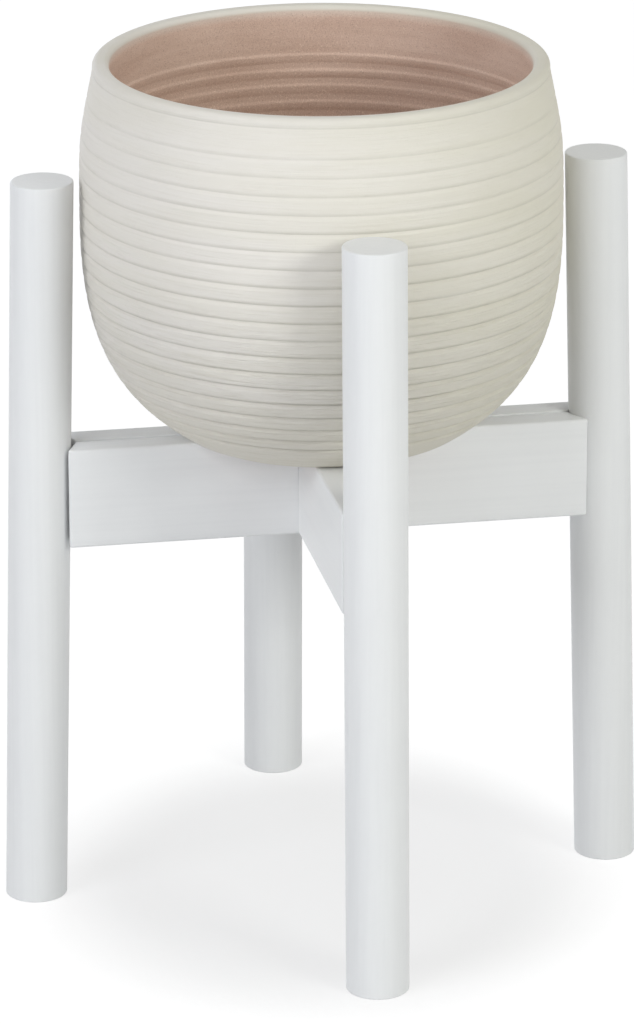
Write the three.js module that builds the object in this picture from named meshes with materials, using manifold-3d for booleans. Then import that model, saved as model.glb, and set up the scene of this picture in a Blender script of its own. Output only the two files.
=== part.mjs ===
// A four-legged wooden plant stand with its ribbed ceramic pot.
// Two flat rails, each glued up from two boards, cross in a halving joint.
// Their square ends are scooped to seat on four raked dowel legs, and two glued pins hold each leg.
// Units are millimetres, +Z is up, the floor is z = 0 and the stand's middle is x = y = 0.

import * as THREE from 'three';
import { mergeVertices } from 'three/addons/utils/BufferGeometryUtils.js';
import Module from 'manifold-3d';

const wasm = await Module();
wasm.setup();

// ---------------------------------------------------------------- driving dimensions

// Legs: round dowels that rake outward a little, both ends cut level.
const legDiameter = 30;
const legTopHeight = 363;
const legRake = 1.5; // degrees from upright
const legEndRounding = 0.8;

// Rails: two boards side by side make one rail.
const railHeight = 50;
const railTopHeight = 233;
const boardThickness = 14;
const boardEdgeRounding = 1.5;
const scoopDepth = 4.3; // how far the leg's round goes into the square rail end

// Glued pins between each leg and its rail end.
const pinDiameter = 8;
const pinLength = 40;
const pinDepthInLeg = 18;
const pinSpacing = 24;
const pinEndBevel = 1;

// Clearances.
const glueGap = 0.3; // between two pieces that touch or are glued
const pinEndGap = 1; // glue room past each end of a pin
const potClearance = 3.6; // between the pot at its widest and the leg tops, so that it lifts out

// Pot: a thrown bowl form with turned rings outside and soft ridges inside.
const potWall = 8;
const potFloor = 10;
const footRadius = 65;
const footFlare = 30.5; // degrees above level where the wall leaves the foot
const footEdgeRounding = 2;
const footRingWidth = 13;
const footRecess = 2.5;
const bellyRadius = 115.3;
const bellyHeight = 106;
const shoulderRadius = 108.2;
const shoulderHeight = 178;
const shoulderLean = 11.2; // degrees that the wall leans inward at the shoulder
const rimHeight = 4.5; // from the shoulder to the top of the pot
const rimFlat = 2.4; // level part of the rim between its two roundings
const rimLineDepth = 0.4;

// How far the wall holds its direction at each end of its two curves, as a share of that curve's rise.
const footFullness = 0.377;
const bellyFullnessBelow = 0.566;
const bellyFullnessAbove = 0.611;
const shoulderFullness = 0.43;

// Turned rings: all of one pitch, measured along the wall.
const ringCount = 19;
const plainFootBand = 27;
const plainTopBand = 14.2;
const lowestGrooveDepth = 1.4; // the grooves grow evenly shallower from the lowest one up
const highestGrooveDepth = 0.4;
const grooveLedge = 2.2; // the wide flank that faces up
const grooveUndercut = 0.7; // the narrow flank that faces down
const innerRidge = 0.8;
const innerRidgeUnderside = 4.2;
const innerRidgeOffset = 2.5; // how far up the wall an inner ridge lies from its ring

// Facet counts of the round forms.
const potFacets = 40;
const legFacets = 32;
const pinFacets = 16;
const roundingSteps = 3;

// ---------------------------------------------------------------- worked-out sizes

const radians = THREE.MathUtils.degToRad;
const legRadius = legDiameter / 2;
const railBottomHeight = railTopHeight - railHeight;
const railMiddleHeight = railTopHeight - railHeight / 2;
const railThickness = 2 * boardThickness;
const potHeight = shoulderHeight + rimHeight;
const potWidestRadius = Math.max(bellyRadius, shoulderRadius);

// How far a leg's axis lies from the stand's middle: nearest at its top, where it clears the pot.
const legAxisAtTop = potWidestRadius + potClearance + legRadius;
const legAxisAt = (height) => legAxisAtTop + (legTopHeight - height) * Math.tan(radians(legRake));
const railLength = 2 * (legAxisAt(railMiddleHeight) - legRadius - glueGap + scoopDepth);

// ---------------------------------------------------------------- finishes

const finish = (color, roughness) => new THREE.MeshStandardMaterial({ color, roughness, metalness: 0 });
const whitePaint = finish(0xe4e5e4, 0.45);
const beechWood = finish(0xcfae7c, 0.7);
const creamStoneware = finish(0xe3ded0, 0.75);

// ---------------------------------------------------------------- solids and booleans

// Turns a closed geometry into a solid that can be cut, without the slivers at a lathe's axis.
function toSolid(geometry) {
  const bare = geometry.clone();
  bare.deleteAttribute('normal');
  bare.deleteAttribute('uv');
  const welded = mergeVertices(bare, 1e-4);
  const corners = welded.index.array;
  const kept = [];
  for (let i = 0; i < corners.length; i += 3) {
    const [a, b, c] = [corners[i], corners[i + 1], corners[i + 2]];
    if (a !== b && b !== c && c !== a) kept.push(a, b, c);
  }
  const vertProperties = new Float32Array(welded.attributes.position.array);
  const triVerts = new Uint32Array(kept);
  return new wasm.Manifold(new wasm.Mesh({ numProp: 3, vertProperties, triVerts }));
}

function toGeometry(solid) {
  const mesh = solid.getMesh();
  const geometry = new THREE.BufferGeometry();
  geometry.setAttribute('position', new THREE.BufferAttribute(mesh.vertProperties, mesh.numProp));
  geometry.setIndex(new THREE.BufferAttribute(mesh.triVerts, 1));
  geometry.computeVertexNormals();
  return geometry;
}

function cutAway(body, cutters) {
  const rest = cutters.reduce((solid, cutter) => solid.subtract(toSolid(cutter)), toSolid(body));
  return toGeometry(rest);
}

function namedMesh(name, geometry, material) {
  const mesh = new THREE.Mesh(geometry, material);
  mesh.name = name;
  return mesh;
}

// A lathe geometry stands up along Z. Its outline runs outward from the axis, up and back in.
function turned(outline, facets) {
  return new THREE.LatheGeometry(outline, facets).rotateX(Math.PI / 2);
}

// Points on a quarter round from one angle to another, both in degrees.
function arcPoints(centreX, centreY, radius, fromAngle, toAngle, steps) {
  const points = [];
  for (let i = 0; i <= steps; i += 1) {
    const angle = radians(fromAngle + ((toAngle - fromAngle) * i) / steps);
    points.push(new THREE.Vector2(centreX + radius * Math.cos(angle), centreY + radius * Math.sin(angle)));
  }
  return points;
}

// ---------------------------------------------------------------- legs and pins

// A dowel between two heights with rounded end corners, standing on the axis.
function dowel(radius, bottom, top, rounding, facets) {
  return turned([
    new THREE.Vector2(0, bottom),
    ...arcPoints(radius - rounding, bottom + rounding, rounding, -90, 0, roundingSteps),
    ...arcPoints(radius - rounding, top - rounding, rounding, 0, 90, roundingSteps),
    new THREE.Vector2(0, top),
  ], facets);
}

// Carries an upright form along the leg's rake and out to its place on the +X side.
// The sections stay level circles, so both ends are level and the foot sits flat.
function rakedIntoPlace(geometry) {
  geometry.applyMatrix4(new THREE.Matrix4().makeShear(0, 0, 0, 0, -Math.tan(radians(legRake)), 0));
  return geometry.translate(legAxisAt(0), 0, 0);
}

const pinHeights = [railMiddleHeight - pinSpacing / 2, railMiddleHeight + pinSpacing / 2];
const pinOuterEnd = (height) => legAxisAt(height) - legRadius + pinDepthInLeg;

// The round space that a pin lies in, with glue room at both ends, on the +X side.
function pinBore(height) {
  const boreRadius = pinDiameter / 2 + glueGap;
  const boreLength = pinLength + 2 * pinEndGap;
  const bore = new THREE.CylinderGeometry(boreRadius, boreRadius, boreLength, pinFacets);
  return bore.rotateZ(Math.PI / 2).translate(pinOuterEnd(height) - pinLength / 2, 0, height);
}

function legGeometry() {
  const leg = dowel(legRadius, 0, legTopHeight, legEndRounding, legFacets);
  return cutAway(rakedIntoPlace(leg), pinHeights.map(pinBore));
}

function pinGeometry(height) {
  const radius = pinDiameter / 2;
  const pin = turned([
    new THREE.Vector2(0, 0),
    new THREE.Vector2(radius - pinEndBevel, 0),
    new THREE.Vector2(radius, pinEndBevel),
    new THREE.Vector2(radius, pinLength - pinEndBevel),
    new THREE.Vector2(radius - pinEndBevel, pinLength),
    new THREE.Vector2(0, pinLength),
  ], pinFacets);
  return pin.rotateY(-Math.PI / 2).translate(pinOuterEnd(height), 0, height);
}

// ---------------------------------------------------------------- rails

// The leg's round with the glue gap round it: what the rail end is scooped to.
function legScoop(turn) {
  const radius = legRadius + glueGap;
  const reach = legTopHeight;
  const upright = new THREE.CylinderGeometry(radius, radius, reach, legFacets)
    .rotateX(Math.PI / 2)
    .translate(0, 0, reach / 2);
  return rakedIntoPlace(upright).rotateZ(turn);
}

// One plain board along X, on the +Y side of the glue line, its four long edges rounded.
function plainBoard() {
  const width = boardThickness - glueGap / 2;
  const corner = boardEdgeRounding;
  const outline = new THREE.Shape([
    ...arcPoints(corner, corner, corner, 180, 270, roundingSteps),
    ...arcPoints(width - corner, corner, corner, 270, 360, roundingSteps),
    ...arcPoints(width - corner, railHeight - corner, corner, 0, 90, roundingSteps),
    ...arcPoints(corner, railHeight - corner, corner, 90, 180, roundingSteps),
  ]);
  return new THREE.ExtrudeGeometry(outline, { depth: railLength, bevelEnabled: false })
    .rotateX(Math.PI / 2)
    .rotateZ(Math.PI / 2)
    .translate(-railLength / 2, glueGap / 2, railBottomHeight);
}

// The halving: half of the rail's height is cut out for the rail that crosses it.
function halvingSlot(opensUpward) {
  const width = railThickness + 2 * glueGap;
  const depth = railHeight / 2 + glueGap / 2;
  const overshoot = boardEdgeRounding + 1;
  const slot = new THREE.BoxGeometry(width, 2 * railThickness + width, depth + overshoot);
  const fromMiddle = (overshoot + depth) / 2 - glueGap / 2;
  return slot.translate(0, 0, railMiddleHeight + (opensUpward ? fromMiddle : -fromMiddle));
}

// A finished board on the +Y side (side = 1) or the -Y side (side = -1) of its rail.
function boardGeometry(side, opensUpward) {
  const board = plainBoard();
  if (side < 0) board.rotateZ(Math.PI);
  const boresBothEnds = pinHeights.flatMap((height) => [pinBore(height), pinBore(height).rotateZ(Math.PI)]);
  return cutAway(board, [legScoop(0), legScoop(Math.PI), halvingSlot(opensUpward), ...boresBothEnds]);
}

// ---------------------------------------------------------------- pot

// The smooth outer line of the wall, from the foot through the belly to the shoulder.
function wallCurve() {
  const flare = radians(footFlare);
  const lean = radians(shoulderLean);
  const upperRise = shoulderHeight - bellyHeight;
  const footPull = footFullness * bellyHeight;
  const shoulderPull = shoulderFullness * upperRise;
  const foot = new THREE.Vector2(footRadius, 0);
  const belly = new THREE.Vector2(bellyRadius, bellyHeight);
  const shoulder = new THREE.Vector2(shoulderRadius, shoulderHeight);
  const path = new THREE.CurvePath();
  path.add(new THREE.CubicBezierCurve(
    foot,
    new THREE.Vector2(footRadius + footPull * Math.cos(flare), footPull * Math.sin(flare)),
    new THREE.Vector2(bellyRadius, bellyHeight * (1 - bellyFullnessBelow)),
    belly,
  ));
  path.add(new THREE.CubicBezierCurve(
    belly,
    new THREE.Vector2(bellyRadius, bellyHeight + bellyFullnessAbove * upperRise),
    new THREE.Vector2(shoulderRadius + shoulderPull * Math.sin(lean), shoulderHeight - shoulderPull * Math.cos(lean)),
    shoulder,
  ));
  return path;
}

const potCurve = wallCurve();
const wallLength = potCurve.getLength();
const ringPitch = (wallLength - plainFootBand - plainTopBand) / (ringCount - 1);
const ringStations = Array.from({ length: ringCount }, (_, ring) => plainFootBand + ring * ringPitch);

// The point that lies a distance along the wall and a depth in from its outer line.
function wallPoint(distance, depth) {
  const step = 0.5;
  const here = potCurve.getPoint(distance / wallLength);
  const before = potCurve.getPoint(Math.max(distance - step, 0) / wallLength);
  const after = potCurve.getPoint(Math.min(distance + step, wallLength) / wallLength);
  const along = after.sub(before).normalize();
  return new THREE.Vector2(here.x - along.y * depth, here.y + along.x * depth);
}

// Under the pot: a shallow recess inside a flat foot ring.
function footOutline() {
  const ringInner = footRadius - footRingWidth;
  return [
    new THREE.Vector2(0, footRecess),
    new THREE.Vector2(ringInner - footRecess, footRecess),
    new THREE.Vector2(ringInner, 0),
    ...arcPoints(footRadius - footEdgeRounding, footEdgeRounding, footEdgeRounding, -90, -30, 2),
  ];
}

// Up the outside: plain bands at foot and top, and one shingled groove at each ring.
function outerOutline() {
  const points = [wallPoint(plainFootBand / 3, 0), wallPoint((2 * plainFootBand) / 3, 0)];
  for (const [ring, station] of ringStations.entries()) {
    const share = ring / (ringCount - 1);
    const depth = THREE.MathUtils.lerp(lowestGrooveDepth, highestGrooveDepth, share);
    points.push(wallPoint(station - grooveLedge, 0));
    points.push(wallPoint(station, depth));
    points.push(wallPoint(station + grooveUndercut, 0));
  }
  points.push(wallPoint(wallLength - plainTopBand / 2, 0));
  return points;
}

// Over the rim: a fine turned line below it, then two rounded corners.
function rimOutline() {
  const outer = shoulderRadius;
  const inner = shoulderRadius - potWall;
  const rimRounding = (potWall - rimFlat) / 2;
  const top = potHeight - rimRounding;
  return [
    new THREE.Vector2(outer, shoulderHeight - rimLineDepth),
    new THREE.Vector2(outer - rimLineDepth, shoulderHeight),
    new THREE.Vector2(outer, shoulderHeight + rimLineDepth),
    ...arcPoints(outer - rimRounding, top, rimRounding, 0, 90, roundingSteps),
    ...arcPoints(inner + rimRounding, top, rimRounding, 90, 180, roundingSteps),
  ];
}

// Down the inside: a smooth band, then a soft ridge behind each ring but the top one, and the floor.
function innerOutline() {
  const points = [];
  for (const station of ringStations.slice(0, -1).reverse()) {
    const crest = station + innerRidgeOffset;
    points.push(wallPoint(crest, potWall + innerRidge));
    points.push(wallPoint(crest - innerRidgeUnderside, potWall));
  }
  points.push(wallPoint(plainFootBand / 2, potWall));
  const floorEdge = wallPoint(0, potWall).x;
  return [...points, new THREE.Vector2(floorEdge, potFloor), new THREE.Vector2(0, potFloor)];
}

function potGeometry() {
  return turned([...footOutline(), ...outerOutline(), ...rimOutline(), ...innerOutline()], potFacets);
}

// ---------------------------------------------------------------- assembly

const plantStand = new THREE.Group();

// Each side is drawn once at +X and turned to its place round the stand.
const sides = [
  { name: 'right', turn: 0 },
  { name: 'back', turn: Math.PI / 2 },
  { name: 'left', turn: Math.PI },
  { name: 'front', turn: -Math.PI / 2 },
];
for (const { name, turn } of sides) {
  const side = new THREE.Group();
  side.rotation.z = turn;
  side.add(namedMesh(`leg_${name}`, legGeometry(), whitePaint));
  side.add(namedMesh(`pin_${name}_lower`, pinGeometry(pinHeights[0]), beechWood));
  side.add(namedMesh(`pin_${name}_upper`, pinGeometry(pinHeights[1]), beechWood));
  plantStand.add(side);
}

// The lower rail runs from left to right, and the upper rail is halved down over it.
const lowerRail = new THREE.Group();
lowerRail.add(namedMesh('lower_rail_back_board', boardGeometry(1, true), whitePaint));
lowerRail.add(namedMesh('lower_rail_front_board', boardGeometry(-1, true), whitePaint));
plantStand.add(lowerRail);

const upperRail = new THREE.Group();
upperRail.rotation.z = Math.PI / 2;
upperRail.add(namedMesh('upper_rail_left_board', boardGeometry(1, false), whitePaint));
upperRail.add(namedMesh('upper_rail_right_board', boardGeometry(-1, false), whitePaint));
plantStand.add(upperRail);

// The pot stands loose on the crossed rails.
const pot = namedMesh('pot', potGeometry(), creamStoneware);
pot.position.z = railTopHeight + glueGap;
plantStand.add(pot);

export default plantStand;
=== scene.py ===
# %% [markdown]
# # A white plant stand with a ribbed stoneware pot
#
# Four round dowel legs are glued to the ends of two crossed rails, and a wide pot stands loose on the cross.
# The solids come packed from CAD. They fix every size and place, so this script gives each of them a finer
# mesh of the same outline, and a finish.
#
# ## Loading the frame
#
# The frame is loaded first.

# %% Loading the frame
import math

import bpy
import numpy as np
from mathutils import Matrix, Vector, noise


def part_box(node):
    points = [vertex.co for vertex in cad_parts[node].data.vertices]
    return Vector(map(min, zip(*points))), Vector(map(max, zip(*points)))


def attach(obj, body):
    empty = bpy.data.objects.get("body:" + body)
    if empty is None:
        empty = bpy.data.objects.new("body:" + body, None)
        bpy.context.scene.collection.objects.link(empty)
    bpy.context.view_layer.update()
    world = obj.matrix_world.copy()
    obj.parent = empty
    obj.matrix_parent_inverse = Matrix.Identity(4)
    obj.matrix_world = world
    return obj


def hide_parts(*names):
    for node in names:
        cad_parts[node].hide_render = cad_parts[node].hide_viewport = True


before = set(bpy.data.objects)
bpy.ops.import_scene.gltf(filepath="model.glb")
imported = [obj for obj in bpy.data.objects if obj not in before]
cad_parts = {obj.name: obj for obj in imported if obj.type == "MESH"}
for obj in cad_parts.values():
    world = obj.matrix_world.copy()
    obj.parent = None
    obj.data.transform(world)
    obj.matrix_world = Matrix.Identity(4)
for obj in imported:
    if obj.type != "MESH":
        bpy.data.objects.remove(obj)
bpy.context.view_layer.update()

MM = 0.001
scene = bpy.context.scene
print("solids in the frame:", len(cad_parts))

# %% [markdown]
# ## Formulas for finishes
#
# A finish is mostly arithmetic: noise times an amount, added to a colour. Written with nodes one by one,
# that arithmetic is hard to read. The class below wraps an output socket, so that `grain * 0.3 + 0.5` makes
# the Math nodes by itself. Anything that isn't arithmetic goes through one method, `node`.


# %% Formulas for finishes
class Signal:
    """The output of a node, used in formulas like a number."""

    def __init__(self, network, socket):
        self.network = network
        self.socket = socket

    def __add__(self, other):
        return self.network.math("ADD", self, other)

    def __radd__(self, other):
        return self.network.math("ADD", other, self)

    def __sub__(self, other):
        return self.network.math("SUBTRACT", self, other)

    def __rsub__(self, other):
        return self.network.math("SUBTRACT", other, self)

    def __mul__(self, other):
        return self.network.math("MULTIPLY", self, other)

    def __rmul__(self, other):
        return self.network.math("MULTIPLY", other, self)

    def __truediv__(self, other):
        return self.network.math("DIVIDE", self, other)

    def __rtruediv__(self, other):
        return self.network.math("DIVIDE", other, self)

    def __pow__(self, other):
        return self.network.math("POWER", self, other)

    def __rpow__(self, other):
        return self.network.math("POWER", other, self)

    def rises(self, low, high):
        """0 below low, 1 above high, and a soft slope between. With low above high it falls."""
        return self.network.node("MapRange", {"interpolation_type": "SMOOTHSTEP"},
                                 {"Value": self, "From Min": low, "From Max": high}, "Result")


class Network:
    """The nodes of one material or world."""

    def __init__(self, tree):
        self.tree = tree

    def node(self, kind, settings, values, output=0):
        """Makes one node: its settings first, then what goes into its sockets. Gives one of its outputs."""
        made = self.tree.nodes.new("ShaderNode" + kind)
        for name, setting in settings.items():
            setattr(made, name, setting)
        for name, value in values.items():
            self.feed(made.inputs[name], value)
        return Signal(self, made.outputs[output])

    def feed(self, socket, value):
        if isinstance(value, Signal):
            self.tree.links.new(value.socket, socket)
        else:
            socket.default_value = value

    def math(self, operation, a, b):
        return self.node("Math", {"operation": operation}, {0: a, 1: b})

    def stretched(self, place, amounts):
        """A place with its directions multiplied, so that a pattern on it is drawn out or squeezed."""
        return self.node("VectorMath", {"operation": "MULTIPLY"}, {0: place, 1: amounts})

    def blend(self, amount, first, second):
        """The first colour where the amount is 0, and the second where it is 1."""
        factor, a, b, colour_result = 0, 6, 7, 2
        return self.node("Mix", {"data_type": "RGBA"}, {factor: amount, a: first, b: second}, colour_result)

    def grain(self, place, fineness, detail=3.0, roughness=0.55):
        """Soft random patches between 0 and 1, about 1/fineness metres across."""
        return self.node("TexNoise", {}, {"Vector": place, "Scale": fineness, "Detail": detail,
                                          "Roughness": roughness}, "Fac")

    def place(self):
        """Where a point lies on the object, in metres."""
        return self.node("TexCoord", {}, {}, "Object")

    def along(self, place, direction):
        return self.node("SeparateXYZ", {}, {"Vector": place}, direction)


class Finish(Network):
    """A new material, and the shader that its formulas feed."""

    def __init__(self, name):
        self.material = bpy.data.materials.new(name)
        self.material.use_nodes = True
        super().__init__(self.material.node_tree)
        self.shader = self.tree.nodes["Principled BSDF"]

    def surface(self, name, value):
        self.feed(self.shader.inputs[name], value)

    def relief(self, height, depth):
        """A bump: height runs from 0 to 1, and depth is what it stands for, in metres."""
        self.surface("Normal", self.node("Bump", {}, {"Height": height, "Distance": depth, "Strength": 1.0},
                                         "Normal"))


def colour(red, green, blue):
    """A colour as it is read off a screen, from 0 to 255, turned into light."""
    def light(value):
        share = value / 255
        return share / 12.92 if share <= 0.04045 else ((share + 0.055) / 1.055) ** 2.4
    return (light(red), light(green), light(blue), 1.0)


print("formulas ready")

# %% [markdown]
# ## White paint on wood
#
# The legs and rails are planed softwood under sprayed satin white. Sprayed paint dries with a fine orange
# peel, and the wood's own grain still shows through it as very faint lines along each piece. Those lines
# run up the legs and along the rails, so the same finish is made three times, once for each direction.


# %% White paint on wood
PAINT_WHITE = colour(236, 237, 237)
PAINT_SHADE = colour(226, 227, 228)
PAINT_ROUGHNESS = 0.42
PAINT_RELIEF = 0.02 * MM
PEEL_SIZE = 0.0016
GRAIN_WIDTH = 0.0024
GRAIN_LENGTH = 0.12
PATCHES_PER_METRE = 14.0


def painted_wood(name, direction):
    """White paint over grain that runs along direction: 0 for x, 1 for y and 2 for z."""
    finish = Finish(name)
    place = finish.place()
    squeeze = [1 / GRAIN_WIDTH] * 3
    squeeze[direction] = 1 / GRAIN_LENGTH
    lines = finish.grain(finish.stretched(place, squeeze), 1.0, detail=4.0)
    peel = finish.grain(place, 1 / PEEL_SIZE, detail=2.0)
    patches = finish.grain(place, PATCHES_PER_METRE, detail=2.0)
    shade = lines.rises(0.35, 0.75) * 0.22 + patches * 0.4
    finish.surface("Base Color", finish.blend(shade, PAINT_WHITE, PAINT_SHADE))
    finish.surface("Roughness", PAINT_ROUGHNESS + peel * 0.10 + patches * 0.08)
    finish.relief(lines * 0.3 + peel * 0.7, PAINT_RELIEF)
    return finish.material


paint_up = painted_wood("white_paint_up_the_legs", 2)
paint_across = painted_wood("white_paint_along_x", 0)
paint_through = painted_wood("white_paint_along_y", 1)
print("paint:", paint_up.name, paint_across.name, paint_through.name)

# %% [markdown]
# ## Raw beech
#
# The glued pins are turned beech, pale, with small dark flecks. They are hidden once the stand is together,
# but a piece that is looked at by itself needs its finish as well.


# %% Raw beech
BEECH_PALE = colour(214, 180, 138)
BEECH_WARM = colour(190, 150, 106)
BEECH_FLECK = colour(140, 98, 62)
BEECH_ROUGHNESS = 0.62
BEECH_RELIEF = 0.08 * MM
FLECKS_PER_METRE = 900.0
TONES_PER_METRE = 60.0


def raw_beech(name):
    finish = Finish(name)
    place = finish.place()
    flecks = finish.grain(place, FLECKS_PER_METRE, detail=5.0, roughness=0.7)
    wood = finish.blend(finish.grain(place, TONES_PER_METRE), BEECH_PALE, BEECH_WARM)
    finish.surface("Base Color", finish.blend(flecks.rises(0.56, 0.68) * 0.6, wood, BEECH_FLECK))
    finish.surface("Roughness", BEECH_ROUGHNESS + flecks * 0.2)
    finish.relief(flecks, BEECH_RELIEF)
    return finish.material


beech = raw_beech("raw_beech")
print("wood:", beech.name)

# %% [markdown]
# ## Stoneware
#
# The pot is thrown from a clay that fires dusty pink. A cream slip covers its outside and its rim, and stops
# just inside the lip. The slip is warmer and a little darker on its right side, and darker towards the foot
# and along the rim. A sponge drawn round the turning pot leaves fine level lines in it, most of them low
# down, and grit shows through as specks. Colour settles in the grooves, and painted shade darkens the hollow
# under each band. Inside, the bare clay is painted darker further down, as shade. The mesh carries two
# values for every point, `bare_clay` and `groove_stain_and_shade`, which say where the slip stops and where
# the grooves' stain and painted shade lie.


# %% Stoneware
SLIP_LIGHT = colour(232, 228, 221)
SLIP_WARM = colour(224, 220, 205)
# A darker slip, for the sponge lines, the grit, and the darkening near the foot and the rim.
SLIP_DARKER = colour(211, 206, 191)
# Groove colour: stain settled in the grooves, darkened further as painted shade.
GROOVE_STAIN_AND_SHADE_COLOUR = colour(176, 173, 162)
CLAY_LIGHT = colour(240, 215, 198)
CLAY_DARK = colour(209, 178, 159)
# Painted shade for the inside of the pot, which darkens the bare clay further down.
CLAY_PAINTED_SHADE = colour(186, 157, 138)
SPECK_PALE = colour(246, 228, 209)
SPECK_DARK = colour(152, 121, 105)

# Where a change starts and where it is complete: along x for the warm side, and otherwise in metres above
# the floor.
WARM_SIDE = (-0.07, 0.1)
SPONGED_LOW_DOWN = (0.37, 0.27)
# The slip is darker towards the foot and along the rim.
DARKER_TOWARD_THE_FOOT = (0.30, 0.235)
DARKER_AT_THE_RIM = (0.40, 0.416)
# Where the painted shade inside the pot starts and where it is full.
PAINTED_SHADE_INSIDE = (0.415, 0.365)

SPONGE_LINES = (20.0, 20.0, 900.0)
CLOUDS = (14.0, 14.0, 60.0)
GRIT_PER_METRE = 1500.0
POT_ROUGHNESS = 0.62
POT_RELIEF = 1.2 * MM


def stoneware(name):
    finish = Finish(name)
    place = finish.place()
    bare_clay = finish.node("Attribute", {"attribute_name": "bare_clay"}, {}, "Fac")
    groove_stain_and_shade = finish.node("Attribute", {"attribute_name": "groove_stain_and_shade"}, {}, "Fac")
    x, z = finish.along(place, "X"), finish.along(place, "Z")
    sponge_lines = finish.grain(finish.stretched(place, SPONGE_LINES), 1.0, detail=4.0, roughness=0.75)
    grit = finish.grain(place, GRIT_PER_METRE, detail=4.0, roughness=0.75)
    clouds = finish.grain(finish.stretched(place, CLOUDS), 1.0, detail=3.0)
    low_down = z.rises(*SPONGED_LOW_DOWN)

    warmth = x.rises(*WARM_SIDE) * 0.75 + clouds.rises(0.35, 0.65) * 0.25
    # Darker towards the foot and along the rim.
    darkening = z.rises(*DARKER_TOWARD_THE_FOOT) * 0.45 + z.rises(*DARKER_AT_THE_RIM) * 0.15
    slip = finish.blend(warmth, SLIP_LIGHT, SLIP_WARM)
    slip = finish.blend(darkening, slip, SLIP_DARKER)
    slip = finish.blend(sponge_lines.rises(0.48, 0.68) * (0.15 + low_down * 0.3), slip, SLIP_DARKER)
    slip = finish.blend(grit.rises(0.62, 0.72) * 0.3, slip, SLIP_DARKER)
    # The grooves carry their stain and painted shade, strongest at each line and fading up the hollow.
    slip = finish.blend(groove_stain_and_shade * 0.8, slip, GROOVE_STAIN_AND_SHADE_COLOUR)
    clay = finish.blend(clouds.rises(0.3, 0.7) * 0.5 + grit * 0.3, CLAY_LIGHT, CLAY_DARK)
    # Painted shade: the bare clay inside is darker further down.
    clay = finish.blend(z.rises(*PAINTED_SHADE_INSIDE) * 0.6, clay, CLAY_PAINTED_SHADE)
    clay = finish.blend(grit.rises(0.54, 0.66) * 0.6, clay, SPECK_PALE)
    clay = finish.blend(grit.rises(0.46, 0.34) * 0.5, clay, SPECK_DARK)
    finish.surface("Base Color", finish.blend(bare_clay, slip, clay))
    finish.surface("Roughness", POT_ROUGHNESS + grit * 0.16 + bare_clay * 0.14)
    brushed = sponge_lines * (1 - bare_clay) * (0.3 + low_down * 0.7)
    finish.relief(brushed + grit * (0.07 + bare_clay * 0.14), POT_RELIEF)
    return finish.material


pot_clay = stoneware("stoneware")
print("stoneware:", pot_clay.name)

# %% [markdown]
# ## Making pieces
#
# Every new mesh ends the same way: it becomes an object, moves with its body, and stands in for its CAD
# solid. Edges where two faces meet at more than 35 degrees stay crisp.


# %% Making pieces
CRISP_ANGLE = math.radians(35)


def new_piece(name, points, faces, material):
    mesh = bpy.data.meshes.new(name)
    mesh.from_pydata([tuple(point) for point in points], [], faces)
    mesh.validate()
    mesh.materials.append(material)
    made = bpy.data.objects.new(name, mesh)
    scene.collection.objects.link(made)
    return made


def turn_about_z(made, angle):
    made.data.transform(Matrix.Rotation(angle, 4, "Z"))


def put_in_service(made, node, body):
    """Gives a finished piece its shading and its body, and hides its CAD solid."""
    made.data.shade_smooth()
    made.data.set_sharp_from_angle(angle=CRISP_ANGLE)
    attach(made, body)
    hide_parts(node)


def cut_away(made, cutters):
    """Takes the cutters' forms out of a piece, and removes the cutters."""
    for cutter in cutters:
        step = made.modifiers.new("cut", "BOOLEAN")
        step.operation = "DIFFERENCE"
        step.solver = "EXACT"
        step.object = cutter
    bpy.context.view_layer.update()
    seen = made.evaluated_get(bpy.context.evaluated_depsgraph_get())
    finished = bpy.data.meshes.new_from_object(seen)
    made.modifiers.clear()
    made.data = finished
    for cutter in cutters:
        bpy.data.objects.remove(cutter)


def turned(name, outline, steps, material):
    """A turned form round the z axis, from (radius, height) points that start and end at radius 0."""
    angles = [2 * math.pi * step / steps for step in range(steps)]
    first, last = Vector((0, 0, outline[0][1])), Vector((0, 0, outline[-1][1]))
    rings = outline[1:-1]
    points = [first]
    for radius, height in rings:
        points += [Vector((radius * math.cos(angle), radius * math.sin(angle), height)) for angle in angles]
    points.append(last)
    return new_piece(name, points, ring_faces(len(rings), steps), material)


def ring_faces(ring_count, steps):
    """Faces between rings of points, closed by a fan at the first point and at the last."""
    faces = []
    end = 1 + ring_count * steps
    for step in range(steps):
        after = (step + 1) % steps
        faces.append((0, 1 + after, 1 + step))
        for ring in range(ring_count - 1):
            low, high = 1 + ring * steps, 1 + (ring + 1) * steps
            faces.append((low + step, low + after, high + after, high + step))
        top = 1 + (ring_count - 1) * steps
        faces.append((top + step, top + after, end))
    return faces


def arc(centre_radius, centre_height, radius, start, stop, steps=6):
    """Points of an outline on a round corner, between two angles in degrees."""
    angles = [math.radians(start + (stop - start) * step / steps) for step in range(steps + 1)]
    return [(centre_radius + radius * math.cos(a), centre_height + radius * math.sin(a)) for a in angles]


print("tools for pieces ready")

# %% [markdown]
# ## Reading the stand's sizes from the frame
#
# Only a few sizes are needed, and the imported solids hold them: the legs' diameter and height, how far
# their axes lean, and the boxes of the rails. One side is read, because the four sides are alike.

# %% Reading the stand's sizes from the frame
leg_low, leg_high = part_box("leg_right")
LEG_RADIUS = leg_high.y
LEG_BOTTOM, LEG_TOP = leg_low.z, leg_high.z
LEG_ROUNDING = 0.8 * MM
GLUE_GAP = 0.3 * MM

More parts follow.
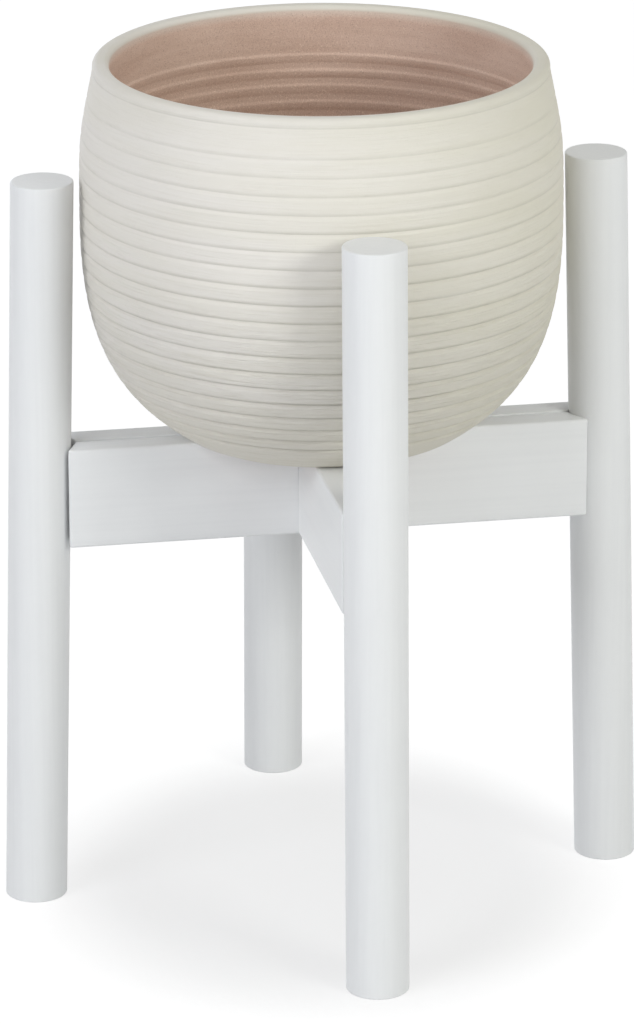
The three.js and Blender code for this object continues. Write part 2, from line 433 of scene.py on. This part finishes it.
OUTERMOST_AXIS = leg_high.x - LEG_RADIUS
INNERMOST_AXIS = leg_low.x + LEG_RADIUS
LEAN = (OUTERMOST_AXIS - INNERMOST_AXIS) / (LEG_TOP - LEG_BOTTOM - 2 * LEG_ROUNDING)
FOOT_AXIS = OUTERMOST_AXIS + LEAN * LEG_ROUNDING

SIDES = {"right": 0.0, "back": math.pi / 2, "left": math.pi, "front": -math.pi / 2}


def leg_axis(height):
    """How far a leg's axis lies from the stand's middle."""
    return FOOT_AXIS - height * LEAN


def lean_outward(made):
    """Takes an upright piece on the z axis out to the +x side, along the leg's lean."""
    for vertex in made.data.vertices:
        vertex.co.x += leg_axis(vertex.co.z)


print(f"legs: {2 * LEG_RADIUS / MM:.1f} mm thick, leaning {math.degrees(math.atan(LEAN)):.2f} degrees")

# %% [markdown]
# ## Legs
#
# A leg is a dowel, cut level at both ends, with its end edges just broken with sandpaper. The paint leaves
# it a touch uneven, far less than a tenth of a millimetre, and that is left to the finish. Two bores take
# the pins.

# %% Legs
ROUND_STEPS = 96
BORE_STEPS = 48
SHAFT_RINGS = 42
END_RING = 0.3 * MM
pin_low, pin_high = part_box("pin_right_lower")
PIN_RADIUS = pin_high.y
PIN_LENGTH = pin_high.x - pin_low.x
PIN_END_ROOM = 1.0 * MM


def rod(name, start, stop, radius, height):
    """A plain level rod along x, for cutting bores."""
    made = turned(name, [(0, start), (radius, start), (radius, stop), (0, stop)], BORE_STEPS, beech)
    made.data.transform(Matrix.Rotation(math.pi / 2, 4, "Y"))
    made.data.transform(Matrix.Translation((0, 0, height)))
    return made


def pin_bores():
    """The two bores on the +x side, one for each pin."""
    bores = []
    for level in ("lower", "upper"):
        low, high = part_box(f"pin_right_{level}")
        start, stop = low.x - PIN_END_ROOM, high.x + PIN_END_ROOM
        bores.append(rod(f"bore_{level}", start, stop, PIN_RADIUS + GLUE_GAP, (low.z + high.z) / 2))
    return bores


def leg(side, angle):
    corner = LEG_RADIUS - LEG_ROUNDING
    shaft = np.linspace(LEG_BOTTOM + LEG_ROUNDING, LEG_TOP - LEG_ROUNDING, SHAFT_RINGS)[1:-1]
    outline = [(0, LEG_BOTTOM), (corner * 0.5, LEG_BOTTOM), (corner - END_RING, LEG_BOTTOM)]
    outline += arc(corner, LEG_BOTTOM + LEG_ROUNDING, LEG_ROUNDING, -90, 0)
    outline += [(LEG_RADIUS, height) for height in shaft]
    outline += arc(corner, LEG_TOP - LEG_ROUNDING, LEG_ROUNDING, 0, 90)
    outline += [(corner - END_RING, LEG_TOP), (corner * 0.5, LEG_TOP), (0, LEG_TOP)]
    made = turned(f"painted_leg_{side}", outline, ROUND_STEPS, paint_up)
    lean_outward(made)
    cut_away(made, pin_bores())
    turn_about_z(made, angle)
    put_in_service(made, f"leg_{side}", "stand")


for side, angle in SIDES.items():
    leg(side, angle)
print("legs:", len(SIDES))

# %% [markdown]
# ## Pins
#
# A bought dowel pin has flutes pressed along it, which let the glue and the air out of the bore, and its
# ends are bevelled so that it starts easily. The flutes are a wave in the radius.

# %% Pins
FLUTES = 14
FLUTE_DEPTH = 0.35 * MM
PIN_BEVEL = 1.0 * MM
PIN_RINGS = 8
STEPS_PER_FLUTE = 8


def pin(side, angle, level):
    low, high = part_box(f"pin_right_{level}")
    tip = PIN_RADIUS - PIN_BEVEL
    bevel_start = PIN_LENGTH - PIN_BEVEL
    shaft = np.linspace(PIN_BEVEL, bevel_start, PIN_RINGS)[1:-1]
    outline = [(0, 0), (tip * 0.6, 0), (tip, 0), (PIN_RADIUS, PIN_BEVEL)]
    outline += [(PIN_RADIUS, distance) for distance in shaft]
    outline += [(PIN_RADIUS, bevel_start), (tip, PIN_LENGTH), (tip * 0.6, PIN_LENGTH), (0, PIN_LENGTH)]
    made = turned(f"fluted_pin_{side}_{level}", outline, FLUTES * STEPS_PER_FLUTE, beech)
    for vertex in made.data.vertices:
        across = vertex.co.xy
        if across.length > PIN_RADIUS * 0.95:
            wave = 0.5 - 0.5 * math.cos(FLUTES * math.atan2(across.y, across.x))
            vertex.co.xy = across * (1 - FLUTE_DEPTH / PIN_RADIUS * wave)
    made.data.transform(Matrix.Rotation(math.pi / 2, 4, "Y"))
    made.data.transform(Matrix.Translation((low.x, 0, (low.z + high.z) / 2)))
    turn_about_z(made, angle)
    put_in_service(made, f"pin_{side}_{level}", "stand")


for side, angle in SIDES.items():
    for level in ("lower", "upper"):
        pin(side, angle, level)
print("pins:", 2 * len(SIDES))

# %% [markdown]
# ## Rail boards
#
# Each rail is two boards, glued face to face. All long edges are eased with sandpaper, which leaves the
# shallow groove that runs along the middle of each rail's top. The square ends are scooped to the leg's
# round. A board is built here as a stack of loops: the same rounded rectangle at many places along its
# length, and at each end smaller and smaller loops whose points lie on whichever comes first, the square
# end or the scoop. The halving and the bores are then cut out.
#
# The lower rail sits a little to the right between its legs. At its left end it stands off the leg, with a
# dark gap that shows beside the leg. At its right end the two wings beside the scoop reach further round.
# Its front board is planed a little lower than its back board, whose crisper edge stands over the joint and
# catches the light as a bright line along the middle of the top.

# %% Rail boards
EDGE = 1.5 * MM
END_EASING = 0.7 * MM
TIGHT_EDGE = 0.6 * MM
PLANED_LOWER = 0.5 * MM
CUT_SHORT = 1.7 * MM
LONGER_WINGS = 1.5 * MM
CORNER_STEPS = 5
SIDE_STEPS = 16
END_LOOPS = 10
BOARD_LOOPS = 24
LAST_LOOP_HALF = 0.05 * MM
SMALLEST_RADIUS = 0.02 * MM


def rounded_rectangle(low_y, high_y, low_z, high_z, low_side_radius, high_side_radius):
    """Points round a section of a board, starting at one corner. Every section has as many points."""
    points = []
    corners = [(high_y, low_z, -90), (high_y, high_z, 0), (low_y, high_z, 90), (low_y, low_z, 180)]
    for number, (y, z, start) in enumerate(corners):
        radius = low_side_radius if y == low_y else high_side_radius
        middle_y = y + (radius if y == low_y else -radius)
        middle_z = z + (radius if z == low_z else -radius)
        points += arc(middle_y, middle_z, radius, start, start + 90, CORNER_STEPS)
        if number in (0, 2):
            side_y, start_z = points[-1]
            stop_z = (high_z - radius) if number == 0 else (low_z + radius)
            side = stop_z - start_z
            points += [(side_y, start_z + side * n / SIDE_STEPS) for n in range(1, SIDE_STEPS)]
    return points


def end_of_rail(y, z, square_end):
    """How far along x the rail reaches at a point of its section."""
    scoop_radius = LEG_RADIUS + GLUE_GAP
    if abs(y) >= scoop_radius:
        return square_end
    return min(square_end, leg_axis(z) - math.sqrt(scoop_radius ** 2 - y ** 2))


def board_mesh(name, node, along_x, material):
    """One board along x, with both ends scooped. along_x says if the CAD board lies that way already."""
    low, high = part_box(node)
    if not along_x:
        low, high = Vector((low.y, -high.x, low.z)), Vector((high.y, -low.x, high.z))
    top = high.z - PLANED_LOWER if node == "lower_rail_front_board" else high.z
    low_side_edge = TIGHT_EDGE if node == "lower_rail_back_board" else EDGE
    square_end = high.x
    half_width = (high.y - low.y) / 2
    deepest = half_width - LAST_LOOP_HALF
    shares = np.linspace(0, 1, END_LOOPS)[::-1]
    loops = [(END_EASING + (deepest - END_EASING) * share, 0.0) for share in shares]
    for angle in (math.radians(30), math.radians(60)):
        loops.append((END_EASING * (1 - math.sin(angle)), END_EASING * (1 - math.cos(angle))))
    loops.append((0.0, END_EASING))

    def ring(inset, back, sign):
        radii = [max(edge - inset, SMALLEST_RADIUS) for edge in (low_side_edge, EDGE)]
        short = CUT_SHORT if along_x and sign < 0 else 0.0
        wings = LONGER_WINGS if along_x and sign > 0 else 0.0
        section = rounded_rectangle(low.y + inset, high.y - inset, low.z + inset, top - inset, *radii)
        reaches = [end_of_rail(y, z, square_end + wings) - back - short for y, z in section]
        return [Vector((sign * reach, y, z)) for reach, (y, z) in zip(reaches, section)]

    rings = [ring(inset, back, -1) for inset, back in loops]
    first, last = rings[-1], ring(*loops[-1], 1)
    for share in np.linspace(0, 1, BOARD_LOOPS)[1:-1]:
        rings.append([a.lerp(b, share) for a, b in zip(first, last)])
    rings += [ring(inset, back, 1) for inset, back in reversed(loops)]
    return closed_by_strips(name, rings, material)


def closed_by_strips(name, rings, material):
    """Joins loops of points, and closes the first and last loop, which are as thin as a line."""
    count = len(rings[0])
    points = [point for ring in rings for point in ring]
    faces = []
    for number in range(len(rings) - 1):
        low, high = number * count, (number + 1) * count
        for step in range(count):
            after = (step + 1) % count
            faces.append((low + step, low + after, high + after, high + step))
    faces.append(tuple(range(count))[::-1])
    faces.append(tuple(range((len(rings) - 1) * count, len(rings) * count)))
    return new_piece(name, points, faces, material)


def block(name, low, high):
    """A plain box, for cutting."""
    corners = [Vector((x, y, z)) for z in (low.z, high.z) for y in (low.y, high.y) for x in (low.x, high.x)]
    faces = [(0, 2, 3, 1), (4, 5, 7, 6), (0, 1, 5, 4), (2, 6, 7, 3), (0, 4, 6, 2), (1, 3, 7, 5)]
    return new_piece(name, corners, faces, beech)


rail_low, rail_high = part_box("lower_rail_back_board")
RAIL_HALF_WIDTH = rail_high.y
RAIL_BOTTOM, RAIL_TOP = rail_low.z, rail_high.z
HALVING_GAP = 0.08 * MM


def halving(opens_upward):
    """The box that is cut out of a board for the other rail. Paint leaves only a hairline at its sides."""
    reach = RAIL_HALF_WIDTH + HALVING_GAP
    middle = (RAIL_BOTTOM + RAIL_TOP) / 2
    if opens_upward:
        bottom, top = middle - GLUE_GAP / 2, RAIL_TOP + EDGE
    else:
        bottom, top = RAIL_BOTTOM - EDGE, middle + GLUE_GAP / 2
    return block("halving", Vector((-reach, -2 * reach, bottom)), Vector((reach, 2 * reach, top)))


def board(node, along_x, opens_upward, material):
    made = board_mesh(f"painted_{node}", node, along_x, material)
    bores = pin_bores()
    far_bores = pin_bores()
    for bore in far_bores:
        turn_about_z(bore, math.pi)
    cut_away(made, [halving(opens_upward)] + bores + far_bores)
    if not along_x:
        turn_about_z(made, math.pi / 2)
    put_in_service(made, node, "stand")


board("lower_rail_back_board", True, True, paint_across)
board("lower_rail_front_board", True, True, paint_across)
board("upper_rail_left_board", False, False, paint_through)
board("upper_rail_right_board", False, False, paint_through)
print("boards: 4")

# %% [markdown]
# ## The pot's wall
#
# The outer line of the wall is two smooth curves, from the foot out to the belly and from the belly in to
# the shoulder. Distances along it place everything else: plain bands at the foot and the top, and between
# them evenly spaced grooves. A groove is cut like a roof shingle. Going up, the wall first slopes in on a
# ledge that faces the sky and shines, and then turns back out under the next band in a hollow that grows
# darker down to the line. The grooves grow shallower toward the top, where they nearly fade into the slip.
# Inside, each ring has a ridge that the thrower's knuckle left: a narrow shelf on top, and a long round
# underside below it.

# %% The pot's wall
pot_low, pot_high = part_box("pot")
POT_BASE, POT_TOP = pot_low.z, pot_high.z
BELLY_RADIUS = pot_high.x
FOOT_RADIUS = 65.0 * MM
FOOT_FLARE = math.radians(30.5)
FOOT_EDGE = 2.0 * MM
FOOT_RING = 13.0 * MM
FOOT_RECESS = 2.5 * MM
BELLY_HEIGHT = 106.0 * MM
SHOULDER_RADIUS = 108.2 * MM
SHOULDER_HEIGHT = 178.0 * MM
SHOULDER_LEAN = math.radians(11.2)
WALL = 8.0 * MM
FLOOR = 10.0 * MM
RIM_ROUNDING = 2.8 * MM
FOOT_FULLNESS, BELLY_FULLNESS_BELOW = 0.377, 0.566
BELLY_FULLNESS_ABOVE, SHOULDER_FULLNESS = 0.611, 0.43

RINGS = 19
PLAIN_FOOT = 27.0 * MM
PLAIN_TOP = 14.2 * MM
GROOVE_DEPTHS = np.linspace(1.8, 0.34, RINGS) * MM
LEDGE = 2.2 * MM
UNDERCUT = 2.4 * MM
# How far a groove's stain and painted shade reach below its line.
SHADE_AND_STAIN_BELOW = 0.5 * MM
RIDGE = 0.8 * MM
RIDGE_OFFSET = 2.5 * MM
RIDGE_SHELF = 1.6 * MM
RIDGE_UNDERSIDE = 4.2 * MM
RIPPLE = 0.025 * MM
RIPPLE_PITCH = 4.4 * MM
CURVE_POINTS = 1500


def bezier(start, pull_start, pull_end, stop):
    """A smooth curve between two points, which leaves and arrives along its two pulls."""
    t = np.linspace(0, 1, CURVE_POINTS)[:, None]
    start, pull_start, pull_end, stop = (np.array(point) for point in (start, pull_start, pull_end, stop))
    return (start * (1 - t) ** 3 + 3 * pull_start * t * (1 - t) ** 2
            + 3 * pull_end * t ** 2 * (1 - t) + stop * t ** 3)


def wall_line():
    """Closely spaced points of the outer line, as (radius, height above the foot)."""
    rise = SHOULDER_HEIGHT - BELLY_HEIGHT
    foot_pull = FOOT_FULLNESS * BELLY_HEIGHT
    shoulder_pull = SHOULDER_FULLNESS * rise
    foot = (FOOT_RADIUS, 0)
    belly = (BELLY_RADIUS, BELLY_HEIGHT)
    shoulder = (SHOULDER_RADIUS, SHOULDER_HEIGHT)
    lower = bezier(foot,
                   (FOOT_RADIUS + foot_pull * math.cos(FOOT_FLARE), foot_pull * math.sin(FOOT_FLARE)),
                   (BELLY_RADIUS, BELLY_HEIGHT * (1 - BELLY_FULLNESS_BELOW)), belly)
    upper = bezier(belly, (BELLY_RADIUS, BELLY_HEIGHT + BELLY_FULLNESS_ABOVE * rise),
                   (SHOULDER_RADIUS + shoulder_pull * math.sin(SHOULDER_LEAN),
                    SHOULDER_HEIGHT - shoulder_pull * math.cos(SHOULDER_LEAN)), shoulder)
    return np.vstack([lower, upper[1:]])


LINE = wall_line()
LINE_STEPS = np.hypot(*np.diff(LINE, axis=0).T)
LINE_DISTANCE = np.concatenate([[0], np.cumsum(LINE_STEPS)])
WALL_LENGTH = LINE_DISTANCE[-1]
LINE_ALONG = np.gradient(LINE, LINE_DISTANCE, axis=0)
PITCH = (WALL_LENGTH - PLAIN_FOOT - PLAIN_TOP) / (RINGS - 1)
STATIONS = PLAIN_FOOT + PITCH * np.arange(RINGS)


def on_wall(distance, depth):
    """Radius and height of the point a distance along the outer line, and a depth in from it."""
    radius, height = (np.interp(distance, LINE_DISTANCE, LINE[:, axis]) for axis in (0, 1))
    out, up = (np.interp(distance, LINE_DISTANCE, LINE_ALONG[:, axis]) for axis in (0, 1))
    return radius - up * depth, height + out * depth


def soft_step(share):
    share = np.clip(share, 0, 1)
    return share * share * (3 - 2 * share)


def groove_at(offset):
    """How deep a groove is, from 0 to 1, at an offset up the wall from its lowest line."""
    ledge = soft_step(1 + offset / LEDGE)
    undercut = np.clip(1 - offset / UNDERCUT, 0, 1) ** 3
    return np.where(offset < 0, ledge, undercut)


def stain_and_shade_at(offset):
    """How much stain and painted shade lie in a groove: all at the lowest line, and less up the hollow."""
    below = np.clip(1 + offset / SHADE_AND_STAIN_BELOW, 0, 1)
    above = np.clip(1 - offset / UNDERCUT, 0, 1) ** 2
    return np.where(offset < 0, below, above)


def ridge_at(offset):
    """How far an inner ridge stands out, from 0 to 1, at an offset up the wall from its crest."""
    shelf = soft_step(1 - offset / RIDGE_SHELF)
    underside = np.clip(1 - (offset / RIDGE_UNDERSIDE) ** 2, 0, 1)
    return np.where(offset > 0, shelf, underside)


def ripple_at(distance):
    """Faint ripples of the smooth band inside the top. They fade out over the first and last fifth of it."""
    share = (distance - STATIONS[-2] - RIDGE_OFFSET) / (WALL_LENGTH - STATIONS[-2] - RIDGE_OFFSET)
    fade = soft_step(share * 5) * soft_step((1 - share) * 5)
    return RIPPLE * fade * np.sin(2 * math.pi * distance / RIPPLE_PITCH)


print(f"wall: {WALL_LENGTH / MM:.1f} mm along its outside, rings {PITCH / MM:.2f} mm apart")

# %% [markdown]
# ## Turning the pot
#
# The outline is now walked once round: under the foot, up the outside, over the rim and down the inside.
# Each point of it knows its distance along the wall, its groove and its ridge, so that the hand of the
# thrower can be added: grooves that grow deeper and shallower round the pot, and wander up and down by a
# quarter of a millimetre. The wandering is noise on a circle, so it meets itself where the turn closes.

# %% Turning the pot
POT_STEPS = 320
GROOVE_OFFSETS = np.array([-3.2, -2.4, -2.0, -1.6, -1.2, -0.8, -0.4, -0.15, 0.0,
                           0.12, 0.3, 0.5, 0.75, 1.05, 1.4, 1.9, 2.4, 3.3, 4.5]) * MM
RIDGE_OFFSETS = np.array([2.3, 1.7, 1.3, 0.9, 0.5, 0.2, -0.1, -0.7,
                          -1.4, -2.1, -2.7, -3.3, -3.8, -4.1, -4.4, -5.2]) * MM
LIP_FADE = 2.6 * MM
RIM_STEPS = 8
SEAM_HALF = 0.5 * MM
SEAM_DEPTH = 0.25 * MM
# The seam line at the shoulder gets a little of the same stain and painted shade.
SEAM_STAIN_AND_SHADE = 0.3

SLOW_SWELL, SLOW_LOOPS, SLOW_SEED = 0.45, 1.6, 0.0
QUICK_SWELL, QUICK_LOOPS, QUICK_SEED = 0.2, 9.0, 50.0
WANDER, WANDER_LOOPS, WANDER_SEED = 0.25 * MM, 2.2, 90.0
RING_SPACING = 3.7


def fixed(radius, height, bare, stain_and_shade=0.0):
    """An outline point that no ring moves."""
    return {"radius": radius, "height": height, "ring": -1, "groove": 0.0, "stain_and_shade": stain_and_shade, "ridge": 0.0,
            "bare": bare, "out": 0.0, "up": 0.0}


def walled(distance, depth, bare, ring=-1, groove=0.0, stain_and_shade=0.0, ridge=0.0):
    """An outline point on the wall, which knows which way the wall faces there."""
    radius, height = on_wall(distance, depth)
    out, up = (float(np.interp(distance, LINE_DISTANCE, LINE_ALONG[:, axis])) for axis in (0, 1))
    return {"radius": float(radius), "height": float(height), "ring": ring, "groove": float(groove),
            "stain_and_shade": float(stain_and_shade), "ridge": float(ridge), "bare": bare, "out": out, "up": up}


def under_the_foot():
    ring_inner = FOOT_RADIUS - FOOT_RING
    flat = [fixed(radius, FOOT_RECESS, 1.0) for radius in np.linspace(0, ring_inner - FOOT_RECESS, 6)]
    slope = [fixed(ring_inner, 0, 1.0), fixed(ring_inner + 0.4 * MM, 0, 1.0)]
    tread = [fixed(FOOT_RADIUS - FOOT_EDGE - 0.4 * MM, 0, 1.0)]
    edge = [fixed(r, h, 0.0) for r, h in arc(FOOT_RADIUS - FOOT_EDGE, FOOT_EDGE, FOOT_EDGE, -90, -30, 5)]
    return flat + slope + tread + edge


def up_the_outside():
    points = [walled(distance, 0, 0.0) for distance in np.linspace(0, STATIONS[0], 12)[2:-3]]
    for ring, station in enumerate(STATIONS):
        for offset in GROOVE_OFFSETS:
            points.append(walled(station + offset, 0, 0.0, ring, groove_at(offset), stain_and_shade_at(offset)))
    top_band = np.linspace(STATIONS[-1] + GROOVE_OFFSETS[-1], WALL_LENGTH, 7)[1:-1]
    return points + [walled(distance, 0, 0.0) for distance in top_band]


def over_the_rim():
    top = POT_TOP - POT_BASE
    inner = SHOULDER_RADIUS - WALL
    line = [fixed(SHOULDER_RADIUS, SHOULDER_HEIGHT - SEAM_HALF, 0.0),
            fixed(SHOULDER_RADIUS - SEAM_DEPTH, SHOULDER_HEIGHT, 0.0, SEAM_STAIN_AND_SHADE),
            fixed(SHOULDER_RADIUS, SHOULDER_HEIGHT + SEAM_HALF, 0.0)]
    outer_round = arc(SHOULDER_RADIUS - RIM_ROUNDING, top - RIM_ROUNDING, RIM_ROUNDING, 0, 90, RIM_STEPS)
    inner_round = arc(inner + RIM_ROUNDING, top - RIM_ROUNDING, RIM_ROUNDING, 90, 180, RIM_STEPS)
    lip = [fixed(r, h, 0.0) for r, h in outer_round]
    middle = fixed(SHOULDER_RADIUS - WALL / 2, top, 0.0)
    return line + lip + [middle] + [fixed(r, h, 0.0) for r, h in inner_round]


def down_the_inside():
    first = STATIONS[-2] + RIDGE_OFFSET + RIDGE_OFFSETS[0]
    points = [walled(distance, WALL + ripple_at(distance), 1.0)
              for distance in np.linspace(WALL_LENGTH, first, 36)[:-1]]
    for ring in range(RINGS - 2, -1, -1):
        crest = STATIONS[ring] + RIDGE_OFFSET
        for offset in RIDGE_OFFSETS:
            points.append(walled(crest + offset, WALL, 1.0, ring, ridge=ridge_at(offset)))
    turn = [walled(distance, WALL, 1.0) for distance in (PLAIN_FOOT * 0.75, PLAIN_FOOT * 0.5)]
    edge = on_wall(0, WALL)[0]
    return points + turn + [fixed(radius, FLOOR, 1.0) for radius in np.linspace(edge, 0, 8)]


def noise_round(ring, angle, loops, seed):
    """Smooth noise from about -1 to 1 that closes on itself after one turn."""
    level = ring * RING_SPACING + seed
    return noise.noise(Vector((loops * math.cos(angle), loops * math.sin(angle), level)))


def swell(ring, angle):
    """How deep a ring is cut at a place round the pot, as a share of its own depth."""
    slow = SLOW_SWELL * noise_round(ring, angle, SLOW_LOOPS, SLOW_SEED)
    quick = QUICK_SWELL * noise_round(ring, angle, QUICK_LOOPS, QUICK_SEED)
    return 1 + slow + quick


def pot():
    outline = under_the_foot() + up_the_outside() + over_the_rim() + down_the_inside()
    angles = [2 * math.pi * step / POT_STEPS for step in range(POT_STEPS)]
    depth_share = [[swell(ring, angle) for angle in angles] for ring in range(RINGS)]
    wander = [[WANDER * noise_round(ring, angle, WANDER_LOOPS, WANDER_SEED) for angle in angles]
              for ring in range(RINGS)]
    points, bare, stains_and_shade = [], [], []

    def add(entry, step):
        ring = entry["ring"]
        share = depth_share[ring][step] if ring >= 0 else 1.0
        shift = wander[ring][step] * min(1.0, entry["groove"] + entry["ridge"]) if ring >= 0 else 0.0
        cut = entry["groove"] * GROOVE_DEPTHS[ring] * share if ring >= 0 else 0.0
        inward = cut + entry["ridge"] * RIDGE * share
        radius = entry["radius"] - entry["up"] * inward + entry["out"] * shift
        height = entry["height"] + entry["out"] * inward + entry["up"] * shift
        angle = angles[step]
        points.append((radius * math.cos(angle), radius * math.sin(angle), POT_BASE + height))
        bare.append(entry["bare"])
        # Stain and painted shade follow how deep the groove is cut there.
        ring_share = share * GROOVE_DEPTHS[ring] / GROOVE_DEPTHS[0] if ring >= 0 else 1.0
        stains_and_shade.append(min(1.0, entry["stain_and_shade"] * ring_share))

    add(outline[0], 0)
    for entry in outline[1:-1]:
        for step in range(POT_STEPS):
            add(entry, step)
    add(outline[-1], 0)

    made = new_piece("ribbed_pot", points, ring_faces(len(outline) - 2, POT_STEPS), pot_clay)
    fade_at_lip(points, bare)
    for name, values in (("bare_clay", bare), ("groove_stain_and_shade", stains_and_shade)):
        made.data.attributes.new(name, "FLOAT", "POINT").data.foreach_set("value", values)
    made.data.shade_smooth()
    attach(made, "pot")
    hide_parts("pot")
    return made


def fade_at_lip(points, bare):
    """The slip thins out over the inner edge of the rim, so bare clay comes in softly below it."""
    lip = POT_TOP - RIM_ROUNDING * 0.5
    inner_half = SHOULDER_RADIUS - WALL * 0.6
    upper_part = POT_BASE + SHOULDER_HEIGHT * 0.8
    for number, (x, y, z) in enumerate(points):
        if math.hypot(x, y) < inner_half and z > upper_part:
            bare[number] = float(soft_step((lip - z) / LIP_FADE))


ribbed_pot = pot()
print(f"pot: {len(ribbed_pot.data.vertices)} points, {2 * BELLY_RADIUS / MM:.1f} mm at the belly")

# %% [markdown]
# ## The camera
#
# The photograph was taken from a standing height with a long lens, looking down about twenty degrees. The
# numbers come from fitting the edges of the legs, the rails and the rim.

# %% The camera
CAMERA_SIDE = math.radians(-10.373)
CAMERA_DISTANCE = 2.53624
CAMERA_HEIGHT = 1.0881
CAMERA_TURN = math.radians(-10.317)
CAMERA_DOWN = math.radians(19.529)
CAMERA_ROLL = math.radians(-0.156)
CAMERA_LENS = 194.765
SENSOR_WIDTH = 36.0
FARTHEST_SEEN = 20.0

lens = bpy.data.cameras.new("photo_camera")
lens.lens = CAMERA_LENS
lens.sensor_width = SENSOR_WIDTH
lens.clip_end = FARTHEST_SEEN
camera = bpy.data.objects.new("photo_camera", lens)
scene.collection.objects.link(camera)
camera.matrix_world = (
    Matrix.Translation((CAMERA_DISTANCE * math.sin(CAMERA_SIDE), -CAMERA_DISTANCE * math.cos(CAMERA_SIDE),
                        CAMERA_HEIGHT))
    @ Matrix.Rotation(CAMERA_TURN, 4, "Z")
    @ Matrix.Rotation(math.pi / 2 - CAMERA_DOWN, 4, "X")
    @ Matrix.Rotation(CAMERA_ROLL, 4, "Z"))
scene.camera = camera
print("camera at", [round(value, 3) for value in camera.location])

# %% [markdown]
# ## Floor and light
#
# The photograph is a studio shot on white. Two wide lamps stand left and right of the camera, only a little
# higher than the pot, so a top face comes out darker than a side that faces the room. The left one is a
# touch cooler than the right. A weak lamp overhead and a low one behind fill the shadows.
#
# A floor lit at the object's own level would render grey. So what the camera sees of it is mostly a glow of
# its own, which brings it up to plain white. A small part still answers to the lamps, and keeps the shadows
# and the fine dark line where a leg stands. The photograph also has a soft grey pool under the stand, which
# is painted here as a shadow: it is taken out of the glow. The light that the floor sends up to the object
# is left as it is.

# %% Floor and light
ROOM_LIGHT = 0.345
LAMPS = {
    "left_of_camera": {"at": (-1.93, -1.352, 1.299), "size": 1.4, "power": 27.0,
                       "tint": (0.965, 0.99, 1.045)},
    "right_of_camera": {"at": (1.352, -1.93, 1.299), "size": 0.8, "power": 24.6,
                        "tint": (0.985, 1.0, 0.965)},
    "overhead": {"at": (0.0, -0.1, 2.4), "size": 1.8, "power": 3.7, "tint": (1.0, 1.0, 0.9)},
    "behind": {"at": (-0.445, 2.522, 0.651), "size": 1.0, "power": 10.5, "tint": (0.93, 1.0, 1.15)},
}
AIM = Vector((0, 0, 0.2))

FLOOR_WHITE = 0.8
FLOOR_SHOWS_LAMPS = 0.25
FLOOR_GLOW = 0.86
# The pool is a painted shadow: its size across and away, its shift, its depth and its soft edge.
POOL_ACROSS, POOL_AWAY = 0.133, 0.157
POOL_SHIFT = -0.012
POOL_DEPTH = 0.19
POOL_EDGE = (1.3, 0.68)
FLOOR_REACH = 6.0
FLOOR_ROUGHNESS = 0.9


def seen_directly(network):
    """1 where the camera looks, straight or by way of a shine, and 0 for light on its way to the object."""
    camera_ray, glossy_ray, clear_ray = (network.node("LightPath", {}, {}, f"Is {kind} Ray")
                                         for kind in ("Camera", "Glossy", "Transmission"))
    return network.math("MAXIMUM", network.math("MAXIMUM", camera_ray, glossy_ray), clear_ray)


def grey(level):
    return (level, level, level, 1.0)


def shadow_pool(finish):
    """1 in the middle of the painted shadow pool on the floor, and 0 outside. It reaches further back."""
    place = finish.place()
    x, y = finish.along(place, "X"), finish.along(place, "Y")
    side, front = math.sin(CAMERA_SIDE), math.cos(CAMERA_SIDE)
    across = (x * front + y * side) / POOL_ACROSS
    away = (y * front - x * side - POOL_SHIFT) / POOL_AWAY
    return ((across ** 2 + away ** 2) ** 0.5).rises(*POOL_EDGE)


floor_finish = Finish("white_floor")
seen = seen_directly(floor_finish)
# The floor's glow, with the painted shadow pool taken out of it.
glow_with_painted_shadow = floor_finish.blend(shadow_pool(floor_finish), grey(FLOOR_GLOW), grey(FLOOR_GLOW - POOL_DEPTH))
floor_finish.surface("Base Color", floor_finish.blend(seen, grey(FLOOR_WHITE), grey(FLOOR_SHOWS_LAMPS)))
floor_finish.surface("Emission Color", floor_finish.blend(seen, grey(0.0), glow_with_painted_shadow))
floor_finish.surface("Emission Strength", 1.0)
floor_finish.surface("Roughness", FLOOR_ROUGHNESS)
floor_finish.surface("Specular IOR Level", 0.0)
floor_corners = [(FLOOR_REACH * x, FLOOR_REACH * y, 0) for x, y in ((-1, -1), (1, -1), (1, 1), (-1, 1))]
floor = new_piece("floor", floor_corners, [(0, 1, 2, 3)], floor_finish.material)

world = bpy.data.worlds.new("studio")
world.use_nodes = True
scene.world = world
sky = Network(world.node_tree)
background = world.node_tree.nodes["Background"]
sky.feed(background.inputs["Color"], (1.0, 1.0, 1.0, 1.0))
sky.feed(background.inputs["Strength"], ROOM_LIGHT + seen_directly(sky) * (1.0 - ROOM_LIGHT))

for name, lamp in LAMPS.items():
    light = bpy.data.lights.new(name, "AREA")
    light.size = lamp["size"]
    light.energy = lamp["power"]
    light.color = lamp["tint"]
    holder = bpy.data.objects.new(name, light)
    holder.location = lamp["at"]
    holder.rotation_euler = (AIM - holder.location).to_track_quat("-Z", "Y").to_euler()
    scene.collection.objects.link(holder)
scene.view_settings.view_transform = "Standard"
print("lamps:", ", ".join(LAMPS))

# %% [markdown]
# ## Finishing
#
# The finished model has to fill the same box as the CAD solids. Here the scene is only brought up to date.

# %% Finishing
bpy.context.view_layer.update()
